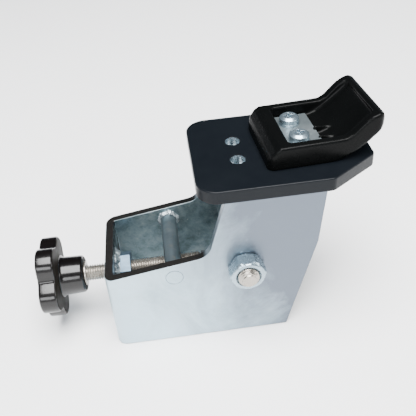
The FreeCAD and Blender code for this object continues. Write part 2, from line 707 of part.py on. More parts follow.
fillet(plate, plate_rims, S("edge_break"), "Chamfer")
sk = sketch_on(plate, "plate_holes", "XY_Plane", TH)
for sgn in (-1, 1):
    circle(sk, S("tap_x"), MY + S("tap_half") * sgn, S("tap_rad"))
    circle(sk, S("shoe_x") - S("shoe_half") * SIN_S * sgn, MY + S("shoe_half") * COS_S * sgn, S("low_hole"))
pocket(plate, sk, TH)
sk = sketch_on(plate, "plate_blind", "XY_Plane")
for sgn in (-1, 1):
    circle(sk, S("low_x"), MY + S("low_half") * sgn, S("m_six_hole"))
before = plate.Shape.Volume
pb = plate.newObject("PartDesign::Pocket", "plate_blind_cut")
pb.Profile = sk
pb.Length = 6.0
pb.Reversed = True
doc.recompute()
if plate.Shape.Volume > before - 1:
    raise RuntimeError("blind holes cut nothing")

# ---------------------------------------------------------------- support bar between the side plates
BL, BN, BT = S("bar_left"), S("bar_long"), S("bar_thick")
bar = box("bar_block", BN, W - T * 2, BT, BL, T, TP - BT)
tools = []
for tag, sgn in (("a", -1), ("b", 1)):
    tools.append(cyl("bar_shoe_" + tag, S("m_six_hole"), BT + 2,
                     S("shoe_x") - S("shoe_half") * SIN_S * sgn, MY + S("shoe_half") * COS_S * sgn, TP - BT - 1))
    tools.append(cyl("bar_low_" + tag, S("low_hole"), BT + 2, S("low_x"), MY + S("low_half") * sgn, TP - BT - 1))
node(cut("support_bar", bar, fuse("bar_tools", tools)), "support_bar")

# weld fillets under the ends of the support bar


def wedge(name, x, y, z, length, sy):
    b = new_body(name, x, y, z)
    s = sketch_on(b, name + "_tri", "YZ_Plane")
    polygon(s, [(0, 0), (3.0 * sy, 0), (0, -3.0)])
    pad(b, s, length)
    NODES.pop()
    return b


wa = wedge("bar_weld_front", BL + 13.5, T, TP - BT, 11, 1)
wb = wedge("bar_weld_back", BL + 13.5, W - T, TP - BT, 11, -1)
node(group("bar_welds", [wa, wb]), "bar_welds")

scr, wsh = [], []
for tag, sgn in (("a", -1), ("b", 1)):
    yy = MY + S("low_half") * sgn
    h = cyl("low_head_" + tag, S("cap_rad"), S("cap_high"), S("low_x"), yy, TP - BT - S("six_wash") - S("cap_high"))
    k = cyl("low_shank_" + tag, S("m_six"), BT + S("six_wash") + 5.5, S("low_x"), yy, TP - BT - S("six_wash"))
    sock = hexa("low_key_" + tag, 5.0, 3.0, S("low_x"), yy, TP - BT - S("six_wash") - S("cap_high"), UP)
    scr.append(cut("low_screw_" + tag, fuse("low_blank_" + tag, [h, k]), sock))
    o = cyl("low_ring_" + tag, S("six_wash_rad"), S("six_wash"), S("low_x"), yy, TP - BT - S("six_wash"))
    i = cyl("low_ring_in_" + tag, S("low_hole"), S("six_wash") + 2, S("low_x"), yy, TP - BT - S("six_wash") - 1)
    wsh.append(cut("low_washer_" + tag, o, i))
node(group("plate_screws", scr), "plate_screws")
node(group("plate_screw_washers", wsh), "plate_screw_washers")

# ---------------------------------------------------------------- shoe
# Moulded block: flat foot, open pocket for the two screws, then a nose that
# curls up and clear of the plate.  Its own frame stands on the screw pair.
TOP = TP + TH
TURN = Rotation(Vector(0, 0, 1), VAL["shoe_turn"])
shoe = new_body("shoe", S("shoe_x"), MY, TOP, TURN)
hw = S("shoe_wide") / 2
sh, sb, tip, thh, tl = S("shoe_high"), S("shoe_back"), S("tip_out"), S("tip_high"), S("tip_low")
sk = sketch_on(shoe, "shoe_profile", "XZ_Plane", -hw)
polygon(sk, [(-sb, 0), (16, 0), (21.5, 1.6), (27.5, 4.8), (33.5, 9.4), (tip - 2.4, 15.2), (tip - 0.6, tl),
             (tip, thh - 3.0), (tip - 1.4, thh - 0.6), (tip - 4.0, thh), (tip - 7.5, thh - 1.1), (27.5, thh - 7.0), (22.0, sh),
             (-sb + 7.5, sh), (-sb + 3.5, sh - 3.4), (-sb + 0.6, sh - 7.0)])
pad(shoe, sk, S("shoe_wide"))
doc.recompute()
bb = shoe.Shape.BoundBox
hin = hw - S("shoe_wall")
sk = sketch_on(shoe, "shoe_hollow", "XZ_Plane", -hin)
polygon(sk, [(-S("pocket_back"), S("shoe_floor")), (13, S("shoe_floor")), (19, 7.6), (25, 11.6), (31, 16.2), (tip - 4.5, thh - 3.6),
             (tip - 2.6, thh + 4), (-S("pocket_back"), thh + 4)])
before = shoe.Shape.Volume
hc = shoe.newObject("PartDesign::Pocket", "shoe_hollow_cut")
hc.Profile = sk
hc.Length = VAL["shoe_wide"] - 2 * VAL["shoe_wall"]
bind(hc, "Length", hin * 2)
hc.Reversed = True
doc.recompute()
sk = sketch_on(shoe, "shoe_screw_holes", "XY_Plane", S("shoe_floor"))
for sgn in (-1, 1):
    circle(sk, 0, S("shoe_half") * sgn, S("low_hole"))
pocket(shoe, sk, S("shoe_floor"))


def heel_sides(e):
    """The two upright edges at the heel of the shoe."""
    if len(e.Vertexes) != 2:
        return False
    a, b = e.Vertexes[0].Point, e.Vertexes[1].Point
    return abs(abs(a.y) - VAL["shoe_wide"] / 2) < 1e-3 and abs(a.y - b.y) < 1e-3 and max(a.x, b.x) < 1.0 - VAL["shoe_back"]


fillet(shoe, heel_sides, 1.5, "Chamfer")

pk = box("pack_blank", S("pack_long"), S("pack_wide"), S("pack_thick"), 0, 0, 0)


def on_shoe(obj, u, v, w, spin=UP):
    """Place a piece in the shoe's own turned frame."""
    u, v = Q.of(u), Q.of(v)
    return place(obj, S("shoe_x") + u * COS_S - v * SIN_S, MY + u * SIN_S + v * COS_S, TOP + w, TURN.multiply(spin))


on_shoe(pk, -S("pocket_back") + 0.5, -S("pack_wide") / 2, S("shoe_floor"))
ph = []
for tag, sgn in (("a", -1), ("b", 1)):
    ph.append(on_shoe(cyl("pack_hole_" + tag, S("low_hole"), 6, 0, 0, 0), 0, S("shoe_half") * sgn, S("shoe_floor") - 1))
node(cut("shoe_clamp_plate", pk, fuse("pack_tools", ph)), "shoe_clamp_plate")
scr, wsh = [], []
for tag, sgn in (("a", -1), ("b", 1)):
    base = S("shoe_floor") + S("pack_thick")
    o = on_shoe(cyl("ring_out_" + tag, S("ring_rad"), S("ring_thick"), 0, 0, 0), 0, S("shoe_half") * sgn, base)
    i = on_shoe(cyl("ring_in_" + tag, S("low_hole"), 4, 0, 0, 0), 0, S("shoe_half") * sgn, base - 1)
    wsh.append(cut("ring_" + tag, o, i))
    h = on_shoe(cyl("pan_head_" + tag, S("pan_rad"), S("pan_high") - 1.2, 0, 0, 0), 0, S("shoe_half") * sgn, base + S("ring_thick"))
    h2 = on_shoe(cone("pan_top_" + tag, S("pan_rad"), S("pan_rad") - 1.6, 1.2, 0, 0, 0), 0, S("shoe_half") * sgn,
                 base + S("ring_thick") + S("pan_high") - 1.2)
    k = on_shoe(cyl("pan_shank_" + tag, S("m_six"), TH + BT + base + S("ring_thick"), 0, 0, 0), 0, S("shoe_half") * sgn, -TH - BT)
    s1 = on_shoe(box("pan_slot1_" + tag, 5.6, 1.4, 4, 0, 0, 0), -2.8, S("shoe_half") * sgn - 0.7, base + S("ring_thick") + S("pan_high") - 2.0)
    s2 = on_shoe(box("pan_slot2_" + tag, 1.4, 5.6, 4, 0, 0, 0), -0.7, S("shoe_half") * sgn - 2.8, base + S("ring_thick") + S("pan_high") - 2.0)
    scr.append(cut("pan_screw_" + tag, fuse("pan_blank_" + tag, [h, h2, k]), fuse("pan_cross_" + tag, [s1, s2])))
node(group("shoe_screws", scr), "shoe_screws")
node(group("shoe_spring_washers", wsh), "shoe_spring_washers")

# ---------------------------------------------------------------- check and write
doc.recompute()
bad = []
for o in doc.Objects:
    st = list(o.State)
    if "Invalid" in st or "Error" in st:
        bad.append("%s %s" % (o.Name, st))
for o in NODES:
    if o.Shape.isNull() or not o.Shape.isValid() or not o.Shape.Solids:
        bad.append("%s shape" % o.Label)
if bad:
    raise RuntimeError("; ".join(bad))
os.makedirs("parts", exist_ok=True)
total = FreeCAD.BoundBox()
for o in NODES:
    shp = o.Shape
    total.add(shp.BoundBox)
    shp.exportStep("parts/%s.step" % o.Label)
    print("%-22s solids %d volume %.1f" % (o.Label, len(shp.Solids), shp.Volume))
print("nodes", len(NODES))
print("bounds x %.3f %.3f y %.3f %.3f z %.3f %.3f" % (total.XMin, total.XMax, total.YMin, total.YMax, total.ZMin, total.ZMax))
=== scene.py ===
import math

import bmesh
import bpy
import numpy as np
from mathutils import Matrix, Vector, noise


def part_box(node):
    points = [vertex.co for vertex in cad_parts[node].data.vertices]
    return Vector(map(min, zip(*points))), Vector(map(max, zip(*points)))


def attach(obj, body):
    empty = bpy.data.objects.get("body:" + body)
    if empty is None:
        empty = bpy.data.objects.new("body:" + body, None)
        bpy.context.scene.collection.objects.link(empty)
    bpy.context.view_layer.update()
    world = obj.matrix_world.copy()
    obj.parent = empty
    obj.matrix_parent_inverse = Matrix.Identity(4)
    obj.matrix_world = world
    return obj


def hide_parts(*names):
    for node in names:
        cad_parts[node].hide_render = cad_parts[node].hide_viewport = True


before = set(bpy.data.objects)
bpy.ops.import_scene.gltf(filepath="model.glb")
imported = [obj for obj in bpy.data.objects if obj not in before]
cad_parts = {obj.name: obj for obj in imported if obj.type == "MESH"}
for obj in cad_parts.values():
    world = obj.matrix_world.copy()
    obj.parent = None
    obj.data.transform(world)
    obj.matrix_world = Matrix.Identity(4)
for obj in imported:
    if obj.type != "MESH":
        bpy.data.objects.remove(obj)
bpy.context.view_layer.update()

# ------------------------------------------------------------------ frame
LO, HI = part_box("clamp_bracket")
O = Vector((LO[0], LO[1], LO[2]))
MM = 0.001


def P(x, y, z):
    """Drawing position in millimetres to the row frame in metres."""
    return O + Vector((x, y, z)) * MM


def centre(node):
    a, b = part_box(node)
    return (Vector(a) + Vector(b)) / 2


SCREW = centre("clamp_screw")
BUSH = centre("lever_bush")
SHOE_TURN = math.radians(3.5)
PLATE_LO, PLATE_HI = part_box("top_plate")

# ------------------------------------------------------------------ material tools


class Net(object):
    """Short names for building a node tree."""

    def __init__(self, name):
        self.m = bpy.data.materials.new(name)
        self.m.use_nodes = True
        self.t = self.m.node_tree
        self.t.nodes.clear()
        self.out = self.t.nodes.new("ShaderNodeOutputMaterial")
        self.b = self.t.nodes.new("ShaderNodeBsdfPrincipled")
        self.t.links.new(self.b.outputs[0], self.out.inputs[0])
        self.tc = self.t.nodes.new("ShaderNodeTexCoord")

    def new(self, kind, **kw):
        n = self.t.nodes.new(kind)
        for k, v in kw.items():
            setattr(n, k, v)
        return n

    def link(self, a, b):
        self.t.links.new(a, b)

    def mapping(self, scale=(1, 1, 1), rot=(0, 0, 0)):
        n = self.new("ShaderNodeMapping")
        n.inputs["Scale"].default_value = scale
        n.inputs["Rotation"].default_value = rot
        self.link(self.tc.outputs["Object"], n.inputs["Vector"])
        return n.outputs[0]

    def noise(self, scale, detail=4.0, rough=0.55, vec=None, distort=0.0):
        n = self.new("ShaderNodeTexNoise")
        n.inputs["Scale"].default_value = scale
        n.inputs["Detail"].default_value = detail
        n.inputs["Roughness"].default_value = rough
        n.inputs["Distortion"].default_value = distort
        self.link(vec if vec is not None else self.tc.outputs["Object"], n.inputs["Vector"])
        return n.outputs["Fac"]

    def voronoi(self, scale, vec=None, feature="F1"):
        n = self.new("ShaderNodeTexVoronoi", feature=feature)
        n.inputs["Scale"].default_value = scale
        self.link(vec if vec is not None else self.tc.outputs["Object"], n.inputs["Vector"])
        return n.outputs["Distance"]

    def ramp(self, fac, stops, mode="LINEAR"):
        n = self.new("ShaderNodeValToRGB")
        n.color_ramp.interpolation = mode
        el = n.color_ramp.elements
        while len(el) < len(stops):
            el.new(0.5)
        for i, (p, c) in enumerate(stops):
            el[i].position = p
            if isinstance(c, (int, float)):
                c = (c, c, c)
            el[i].color = (c[0], c[1], c[2], 1.0)
        self.link(fac, n.inputs["Fac"])
        return n.outputs["Color"]

    def mix(self, fac, a, b, mode="MIX"):
        n = self.new("ShaderNodeMix", data_type="RGBA", blend_type=mode)
        for val, sock in ((fac, n.inputs[0]), (a, n.inputs[6]), (b, n.inputs[7])):
            if hasattr(val, "is_output"):
                self.link(val, sock)
            elif isinstance(val, (int, float)):
                sock.default_value = val if sock.type == "VALUE" else (val, val, val, 1)
            else:
                sock.default_value = (val[0], val[1], val[2], 1)
        return n.outputs[2]

    def math(self, op, a, b=0.0, clamp=False):
        n = self.new("ShaderNodeMath", operation=op, use_clamp=clamp)
        for val, sock in ((a, n.inputs[0]), (b, n.inputs[1])):
            if hasattr(val, "is_output"):
                self.link(val, sock)
            else:
                sock.default_value = val
        return n.outputs[0]

    def edge(self, radius, lo=0.02, hi=0.25):
        """A mask that is 1 along outer and inner edges."""
        bv = self.new("ShaderNodeBevel", samples=6)
        bv.inputs["Radius"].default_value = radius
        geo = self.new("ShaderNodeNewGeometry")
        dot = self.new("ShaderNodeVectorMath", operation="DOT_PRODUCT")
        self.link(bv.outputs[0], dot.inputs[0])
        self.link(geo.outputs["Normal"], dot.inputs[1])
        inv = self.math("SUBTRACT", 1.0, dot.outputs["Value"])
        return self.ramp(inv, [(lo, 0.0), (hi, 1.0)])

    def bump(self, height, dist, strength=1.0, under=None):
        n = self.new("ShaderNodeBump")
        n.inputs["Distance"].default_value = dist
        n.inputs["Strength"].default_value = strength
        self.link(height, n.inputs["Height"])
        if under is not None:
            self.link(under, n.inputs["Normal"])
        return n.outputs[0]

    def set(self, **kw):
        names = {"color": "Base Color", "rough": "Roughness", "metal": "Metallic", "normal": "Normal", "ior": "IOR",
                 "spec": "Specular IOR Level", "coat": "Coat Weight", "coat_rough": "Coat Roughness", "aniso": "Anisotropic"}
        for k, v in kw.items():
            s = self.b.inputs[names[k]]
            if hasattr(v, "is_output"):
                self.link(v, s)
            elif isinstance(v, (tuple, list)):
                s.default_value = (v[0], v[1], v[2], 1.0)
            else:
                s.default_value = v
        return self.m


def zinc(name, dark, light, rough=(0.30, 0.46), metal=0.88, stain=(0.30, 0.42, 0.42), stain_amount=0.5, edge_wear_and_highlight=0.5, grain=260.0, inner=None, painted_shade_fade=0.0, cut=False):
    """Zinc-plated steel: cloudy plating, faint rolling grain, bright edges that are partly worn plating and partly a
    painted highlight.
    """
    n = Net(name)
    cloud = n.noise(22.0, 6.0, 0.6, distort=0.8)
    fine = n.noise(420.0, 4.0, 0.6)
    roll = n.noise(1.0, 5.0, 0.6, vec=n.mapping((grain * 0.06, grain, grain)))
    base = n.mix(n.ramp(cloud, [(0.30, 0.0), (0.70, 1.0)]), dark, light)
    base = n.mix(n.ramp(roll, [(0.35, 0.0), (0.75, 0.22)]), base, light)
    st = n.math("MULTIPLY", n.ramp(n.noise(48.0, 8.0, 0.7, distort=1.5), [(0.52, 0.0), (0.68, 1.0)]), stain_amount)
    base = n.mix(st, base, stain)
    if painted_shade_fade:
        # painted shade: the plating is made darker towards the upright and upward, with a faint violet cast
        sp = n.new("ShaderNodeSeparateXYZ")
        n.link(n.tc.outputs["Object"], sp.inputs[0])
        slant = n.math("ADD", n.math("MULTIPLY", sp.outputs["X"], 7.5), n.math("MULTIPLY", sp.outputs["Z"], 3.2))
        slant = n.math("ADD", slant, n.math("MULTIPLY", n.noise(16.0, 7.0, 0.66, distort=1.4), 0.95))
        base = n.mix(n.math("MULTIPLY", n.ramp(slant, [(0.22, 0.0), (0.92, 1.0)]), painted_shade_fade), base, (0.080, 0.090, 0.115))
    if inner is not None:
        # inner faces and cut edges: painted shade, a darker dull teal with mottling, and light weld-spatter specks
        sp = n.new("ShaderNodeSeparateXYZ")
        n.link(n.tc.outputs["Object"], sp.inputs[0])
        off = n.math("ABSOLUTE", n.math("SUBTRACT", sp.outputs["Y"], inner[0]))
        mask = n.math("MULTIPLY", n.math("LESS_THAN", off, inner[1]), n.math("GREATER_THAN", sp.outputs["X"], inner[2]))
        shade_mottle = n.noise(130.0, 9.0, 0.74, distort=0.35)
        spat = n.noise(380.0, 4.0, 0.7)
        ic = n.mix(n.ramp(shade_mottle, [(0.36, 0.0), (0.62, 1.0)]), (0.075, 0.115, 0.13), (0.19, 0.26, 0.285))
        ic = n.mix(n.ramp(n.noise(34.0, 8.0, 0.72, distort=0.3), [(0.48, 0.0), (0.66, 0.85)]), ic, (0.30, 0.38, 0.41))
        ic = n.mix(n.ramp(spat, [(0.66, 0.0), (0.74, 0.8)]), ic, (0.62, 0.68, 0.70))
        # near-black patches with light specks on the web's inner face above 30 mm
        web = n.math("MULTIPLY", n.math("LESS_THAN", sp.outputs["X"], inner[2] + 0.0008), n.math("GREATER_THAN", sp.outputs["Z"], 0.030))
        web_dark_patch = n.math("MULTIPLY", web, n.ramp(n.noise(95.0, 6.0, 0.7, distort=0.6), [(0.42, 0.0), (0.50, 1.0)]))
        ic = n.mix(web_dark_patch, ic, n.mix(n.ramp(spat, [(0.62, 0.0), (0.68, 1.0)]), (0.012, 0.014, 0.016), (0.55, 0.62, 0.64)))
        base = n.mix(mask, base, ic)
    if cut:
        # painted shade: the sheared top edges, which face up, made near-black
        nz = n.new("ShaderNodeSeparateXYZ")
        n.link(n.tc.outputs["Normal"], nz.inputs[0])
        up_facing_shade = n.ramp(nz.outputs["Z"], [(0.70, 0.0), (0.86, 1.0)])
        base = n.mix(up_facing_shade, base, n.mix(n.noise(220.0, 5.0, 0.7), (0.018, 0.018, 0.018), (0.055, 0.050, 0.046)))
    # bright edges: partly worn plating, partly a painted highlight line along the arrises
    base = n.mix(n.math("MULTIPLY", n.edge(0.0006), edge_wear_and_highlight), base, (0.86, 0.90, 0.92))
    r = n.ramp(n.mix(0.5, cloud, fine), [(0.3, rough[0]), (0.7, rough[1])])
    h = n.mix(0.5, roll, fine)
    return n.set(color=base, metal=metal, rough=r, normal=n.bump(h, 0.00004, 0.6))


def plastic(name, dark, light, rough=(0.10, 0.24), peel=0.00002, coat=0.4, edge_wear_and_highlight=0.06, spec=0.5):
    """Moulded plastic: slight orange peel, dust-like specks, softened edges."""
    n = Net(name)
    peelh = n.noise(260.0, 3.0, 0.5)
    speck = n.voronoi(900.0)
    cloud = n.noise(35.0, 5.0, 0.6)
    base = n.mix(cloud, dark, light)
    base = n.mix(n.ramp(speck, [(0.02, 0.25), (0.08, 0.0)]), base, (0.03, 0.03, 0.03))
    base = n.mix(n.math("MULTIPLY", n.edge(0.0008), edge_wear_and_highlight), base, (0.05, 0.048, 0.045))
    r = n.ramp(n.mix(0.4, cloud, peelh), [(0.3, rough[0]), (0.75, rough[1])])
    return n.set(color=base, rough=r, coat=coat, coat_rough=0.06, ior=1.5, spec=spec, normal=n.bump(n.mix(0.3, peelh, speck), peel, 0.8))


def paint(name, dark, light, rough=(0.30, 0.42), edge_wear_and_highlight=0.35, grainy=0.00005):
    """Black finish on plate steel: even fine grain, rubbed corners, faint handling marks."""
    n = Net(name)
    grain = n.noise(1500.0, 3.0, 0.6)
    mid = n.noise(60.0, 6.0, 0.65)
    rub = n.noise(1.0, 6.0, 0.65, vec=n.mapping((900.0, 40.0, 200.0), (0, 0, 0.4)))
    base = n.mix(mid, dark, light)
    base = n.mix(n.ramp(rub, [(0.60, 0.0), (0.80, 0.25)]), base, (0.012, 0.013, 0.015))
    base = n.mix(n.math("MULTIPLY", n.edge(0.0007), edge_wear_and_highlight), base, (0.06, 0.06, 0.062))
    r = n.ramp(n.mix(0.5, mid, grain), [(0.3, rough[0]), (0.7, rough[1])])
    return n.set(color=base, rough=r, metal=0.0, ior=1.5, spec=0.12, normal=n.bump(n.mix(0.4, grain, rub), grainy, 0.7))


def bronze(name):
    n = Net(name)
    turn = n.noise(1.0, 4.0, 0.6, vec=n.mapping((80.0, 1600.0, 80.0)))
    cl = n.noise(60.0, 5.0, 0.6)
    base = n.mix(cl, (0.42, 0.28, 0.10), (0.66, 0.50, 0.24))
    base = n.mix(n.math("MULTIPLY", n.edge(0.0004), 0.4), base, (0.85, 0.72, 0.44))
    return n.set(color=base, metal=0.95, rough=n.ramp(turn, [(0.3, 0.22), (0.7, 0.40)]), normal=n.bump(turn, 0.00003, 0.6))


def rubber(name):
    n = Net(name)
    g = n.noise(1200.0, 4.0, 0.7)
    c = n.noise(50.0, 4.0, 0.6)
    base = n.mix(c, (0.022, 0.022, 0.022), (0.05, 0.05, 0.048))
    return n.set(color=base, rough=n.ramp(g, [(0.3, 0.62), (0.7, 0.85)]), normal=n.bump(g, 0.00006, 0.8))


def weld(name):
    """Plated weld metal: lumpy, spattered, half bright and half dull."""
    n = Net(name)
    lump = n.noise(320.0, 5.0, 0.6, distort=1.0)
    rip = n.noise(1.0, 3.0, 0.5, vec=n.mapping((700.0, 300.0, 500.0)))
    base = n.mix(n.ramp(lump, [(0.35, 0.0), (0.65, 1.0)]), (0.10, 0.125, 0.14), (0.50, 0.57, 0.60))
    return n.set(color=base, metal=0.8, rough=n.ramp(lump, [(0.3, 0.34), (0.7, 0.55)]), normal=n.bump(n.mix(0.5, lump, rip), 0.00022, 0.8))


M = {
    "sheet": zinc("zinc_sheet", (0.37, 0.49, 0.555), (0.49, 0.615, 0.69), rough=(0.30, 0.42), metal=0.85, stain=(0.36, 0.47, 0.51), stain_amount=0.30, edge_wear_and_highlight=0.30,
                  inner=(BUSH.y, 0.0253, LO[0] + 0.0047), painted_shade_fade=0.9, cut=True),
    # painted shade: a darker copy of the rod zinc for the cross rod inside the bracket
    "rod_shaded": zinc("zinc_rod_shaded", (0.12, 0.16, 0.18), (0.26, 0.32, 0.35), rough=(0.28, 0.42), stain=(0.34, 0.33, 0.27), stain_amount=0.35, edge_wear_and_highlight=0.15),
    "rod": zinc("zinc_rod", (0.26, 0.32, 0.34), (0.42, 0.48, 0.50), rough=(0.24, 0.40), stain_amount=0.45, edge_wear_and_highlight=0.15),
    "screw": zinc("screw_zinc", (0.24, 0.22, 0.19), (0.46, 0.43, 0.39), rough=(0.22, 0.38), stain=(0.16, 0.13, 0.10), stain_amount=0.5, edge_wear_and_highlight=0.2),
    # painted shade: a darker, duller copy of the nut zinc for the weld nut inside the bracket
    "dull": zinc("nut_dull_in_shade", (0.045, 0.075, 0.105), (0.13, 0.185, 0.24), rough=(0.42, 0.58), stain=(0.04, 0.05, 0.055), stain_amount=0.6, edge_wear_and_highlight=0.25),
    "nut": zinc("nut_zinc", (0.20, 0.275, 0.32), (0.36, 0.45, 0.51), rough=(0.20, 0.34), stain_amount=0.2, edge_wear_and_highlight=0.25),
    "bolt": zinc("bolt_steel", (0.24, 0.22, 0.19), (0.42, 0.385, 0.34), rough=(0.18, 0.34), stain=(0.28, 0.22, 0.16), stain_amount=0.4, edge_wear_and_highlight=0.25),
    "weld": weld("weld_metal"),
    "lever": zinc("lever_steel", (0.10, 0.10, 0.11), (0.22, 0.22, 0.23), rough=(0.28, 0.46), stain=(0.16, 0.11, 0.07), stain_amount=0.35, edge_wear_and_highlight=0.6, grain=420.0),
    "bronze": bronze("bronze_turned"),
    "rubber": rubber("jaw_rubber"),
    "plate": paint("plate_black", (0.0022, 0.0032, 0.0045), (0.0040, 0.0052, 0.0070)),
    "shoe": plastic("shoe_plastic", (0.0012, 0.0014, 0.0014), (0.0028, 0.0030, 0.0030), rough=(0.20, 0.34), coat=0.0, spec=0.055),
    "knob": plastic("knob_plastic", (0.0018, 0.0014, 0.0013), (0.0038, 0.0030, 0.0028), rough=(0.16, 0.28), coat=0.25, spec=0.25),
    "knobface": plastic("knob_face", (0.0085, 0.0075, 0.0062), (0.0150, 0.0130, 0.0110), rough=(0.42, 0.58), coat=0.0, spec=0.04),
}

# ------------------------------------------------------------------ mesh tools


def finish_mesh(ob, angle=38.0):
    me = ob.data
    for p in me.polygons:
        p.use_smooth = True
    me.set_sharp_from_angle(angle=math.radians(angle))
    me.update()


def add(name, me, mat, body, replaces=(), angle=38.0, flat=False):
    ob = bpy.data.objects.new(name, me)
    bpy.context.scene.collection.objects.link(ob)
    me.materials.clear()
    me.materials.append(mat)
    finish_mesh(ob, angle)
    if flat:
        wn = ob.modifiers.new("flat_faces", "WEIGHTED_NORMAL")
        wn.keep_sharp = True
        wn.weight = 100
    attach(ob, body)
    if replaces:
        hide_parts(*replaces)
    return ob


def second(ob, mat, test):
    """Give the faces that pass the test a second material."""
    ob.data.materials.append(mat)
    for p in ob.data.polygons:
        if test(p):
            p.material_index = 1


def refined(node, body, mat, width, segments=2, angle=38.0, sharp=28.0):
    """The CAD solid with its edges softened."""
    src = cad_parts[node]
    bm = bmesh.new()
    bm.from_mesh(src.data)
    bmesh.ops.remove_doubles(bm, verts=bm.verts, dist=2e-6)
    bmesh.ops.dissolve_limit(bm, angle_limit=math.radians(0.6), verts=bm.verts, edges=bm.edges, delimit=set())
    lim = math.radians(sharp)
    picks = [e for e in bm.edges if len(e.link_faces) == 2 and e.calc_face_angle(0.0) > lim]
    bmesh.ops.bevel(bm, geom=picks, offset=width, offset_type="OFFSET", segments=segments, profile=0.5, affect="EDGES", clamp_overlap=True)
    bmesh.ops.triangulate(bm, faces=[f for f in bm.faces if len(f.verts) > 4])
    bmesh.ops.recalc_face_normals(bm, faces=bm.faces)
    me = bpy.data.meshes.new("v_" + node)
    bm.to_mesh(me)
    bm.free()
    return add("v_" + node, me, mat, body, (node,), angle, True)


def lumpy(node, body, mat, amp, size, cuts=3):
    """A weld bead: the CAD ring or wedge with uneven lumps and hollows."""
    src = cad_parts[node]
    bm = bmesh.new()
    bm.from_mesh(src.data)
    bmesh.ops.remove_doubles(bm, verts=bm.verts, dist=2e-6)
    bmesh.ops.subdivide_edges(bm, edges=[e for e in bm.edges if e.calc_length() > 0.0009], cuts=cuts, use_grid_fill=True)
    bmesh.ops.triangulate(bm, faces=bm.faces)
    for _ in range(2):
        bmesh.ops.smooth_vert(bm, verts=bm.verts, factor=0.4, use_axis_x=True, use_axis_y=True, use_axis_z=True)
    bm.normal_update()
    for v in bm.verts:
        k = noise.noise(v.co * size) * 0.75 + noise.noise(v.co * size * 2.7) * 0.35 - 0.22
        v.co += v.normal * (k * amp)
    bmesh.ops.recalc_face_normals(bm, faces=bm.faces)
    me = bpy.data.meshes.new("v_" + node)
    bm.to_mesh(me)
    bm.free()
    return add("v_" + node, me, mat, body, (node,), 75.0)


def from_rings(name, rings, close_start=True, close_end=True, wrap=True):
    """Quads between rings of equal count, with flat ends."""
    verts = [tuple(p) for r in rings for p in r]
    n = len(rings[0])
    faces = []
    for k in range(len(rings) - 1):
        for i in range(n if wrap else n - 1):
            j = (i + 1) % n
            faces.append((k * n + i, k * n + j, (k + 1) * n + j, (k + 1) * n + i))
    if close_start:
        faces.append(tuple(range(n - 1, -1, -1)))
    if close_end:
        b = (len(rings) - 1) * n
        faces.append(tuple(b + i for i in range(n)))
    me = bpy.data.meshes.new(name)
    me.from_pydata(verts, [], faces)
    bm = bmesh.new()
    bm.from_mesh(me)
    bmesh.ops.recalc_face_normals(bm, faces=bm.faces)
    bm.to_mesh(me)
    bm.free()
    return me


def along_x(c, x, r, a):
    """Point at distance r round the X axis through c; a from +Z toward -Y."""
    return Vector((x, c[1] - r * math.sin(a), c[2] + r * math.cos(a)))


def along_y(c, y, r, a):
    return Vector((c[0] + r * math.cos(a), y, c[2] + r * math.sin(a)))


def along_z(c, z, r, a):
    return Vector((c[0] + r * math.cos(a), c[1] + r * math.sin(a), z))


def thread_rings(place, c, s0, s1, r_major, pitch, ends, n_a=48, per=8, depth=0.6134, phase=0.0, turn=1.0):
    """Rings of a screw thread from s0 to s1 (metres); ends gives the largest radius at s."""
    steps = max(2, int(round((s1 - s0) / pitch * per)))
    out = []
    for k in range(steps + 1):
        s = s0 + (s1 - s0) * k / steps
        ring = []
        for i in range(n_a):
            a = 2 * math.pi * i / n_a
            f = (s / pitch - turn * a / (2 * math.pi) + phase) % 1.0
            tri = abs(2 * f - 1.0)
            tri = min(1.0, max(0.0, (tri - 0.10) / 0.78))
            r = r_major - depth * pitch * (1.0 - tri)
            ring.append(place(c, s, min(r, ends(s)), a))
        out.append(ring)
    return out


